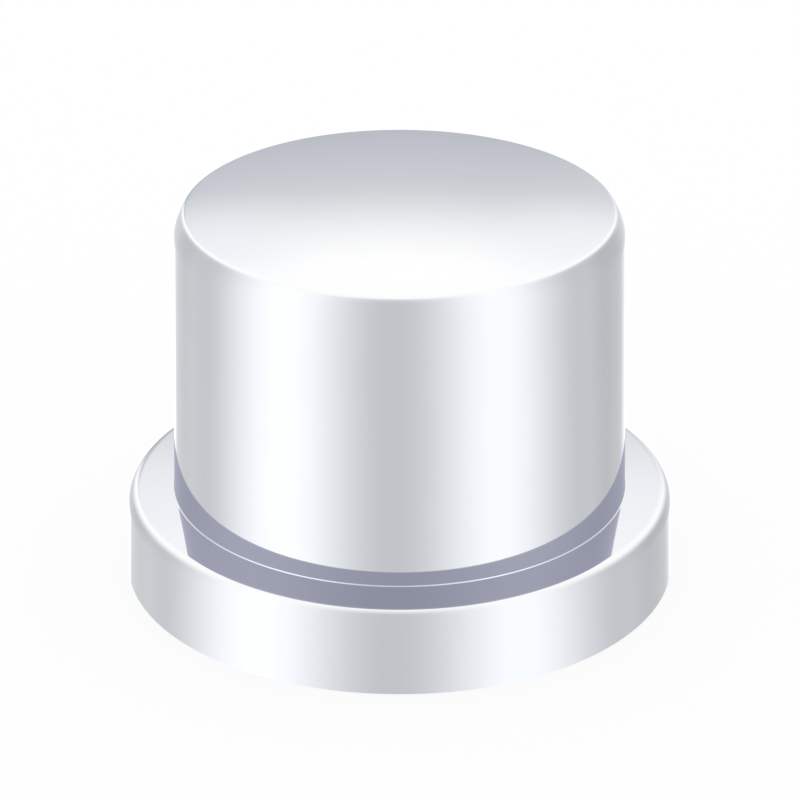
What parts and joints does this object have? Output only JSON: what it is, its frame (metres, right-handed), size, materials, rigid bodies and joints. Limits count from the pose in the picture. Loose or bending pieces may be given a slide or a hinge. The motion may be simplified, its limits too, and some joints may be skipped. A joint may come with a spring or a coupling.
{
  "type": "wheel nut cover cap",
  "caption": "Tall round push-on cover cap for a hexagon wheel nut: smooth hat with a slightly domed top, a wide low flange, open underneath, with grip ribs inside.",
  "frame": {"origin": "centre of the flange's flat bottom face, on the cap's axis", "axes": "+Z along the cap's axis, from the open flange up to the crown; +X through the middle of one flat of the nut's hexagon"},
  "size_m": [0.0506, 0.0506, 0.0366],
  "materials": {
    "chrome_plating": "bright chrome plating on moulded plastic, mirror smooth outside and satin inside"
  },
  "bodies": {
    "root": {"nut_cover": "chrome_plating"}
  },
  "joints": []
}
